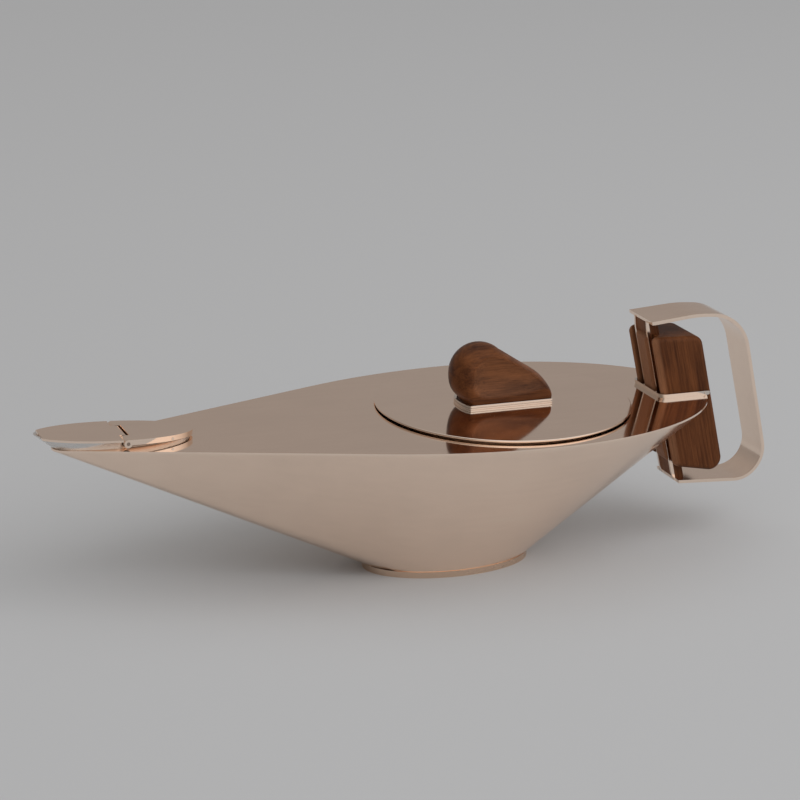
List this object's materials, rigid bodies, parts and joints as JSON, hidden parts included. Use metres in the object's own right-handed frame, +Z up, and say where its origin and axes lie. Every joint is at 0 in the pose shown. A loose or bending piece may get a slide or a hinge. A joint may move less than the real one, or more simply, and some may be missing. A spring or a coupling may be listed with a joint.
{
  "type": "teapot",
  "caption": "Low boat-shaped silver teapot with a flat teardrop deck, a round lift-off lid with a wooden knob, a hinged spout flap and a strap handle round a wooden grip.",
  "frame": {"origin": "centre of the oval foot on the table", "axes": "+Z up, +X towards the handle, -X towards the spout, the long axis along X"},
  "size_m": [0.3884, 0.143, 0.1222],
  "materials": {
    "silver_body": "satin-polished warm silver",
    "silver_polished": "mirror-polished warm silver",
    "silver_strap": "polished warm silver",
    "silver_trim": "polished warm silver",
    "silver_inside": "plain silver sheet",
    "walnut_knob": "oiled, level grain",
    "walnut_grip": "oiled, upright grain"
  },
  "bodies": {
    "pot": {"body_shell": "silver_body", "base_plate": "silver_inside", "foot_rim": "silver_trim", "top_plate": "silver_polished", "handle_socket": "silver_inside", "strainer": "silver_inside", "lid_seat_ring": "silver_inside", "spout_collar": "silver_trim", "spout_rear_cover": "silver_polished", "hinge_pin": "silver_trim", "cover_rivets": "silver_trim", "handle_collar": "silver_trim", "handle_grip": "walnut_grip", "handle_strap": "silver_strap", "collar_rivets": "silver_trim"},
    "lid": {"lid_disc": "silver_polished", "lid_flange": "silver_inside", "knob_bezel": "silver_trim", "knob": "walnut_knob", "knob_pin": "silver_trim"},
    "flap": {"spout_flap": "silver_polished"}
  },
  "joints": [
    {"name": "lid_lift", "type": "slide", "parent": "pot", "child": "lid", "axis": [0, 0, 1], "range_m": [0, 0.06]},
    {"name": "flap_hinge", "type": "hinge", "parent": "pot", "child": "flap", "pos_m": [-0.1702, 0, 0.08333], "axis": [0, 1, 0], "range_deg": [0, 90]}
  ]
}
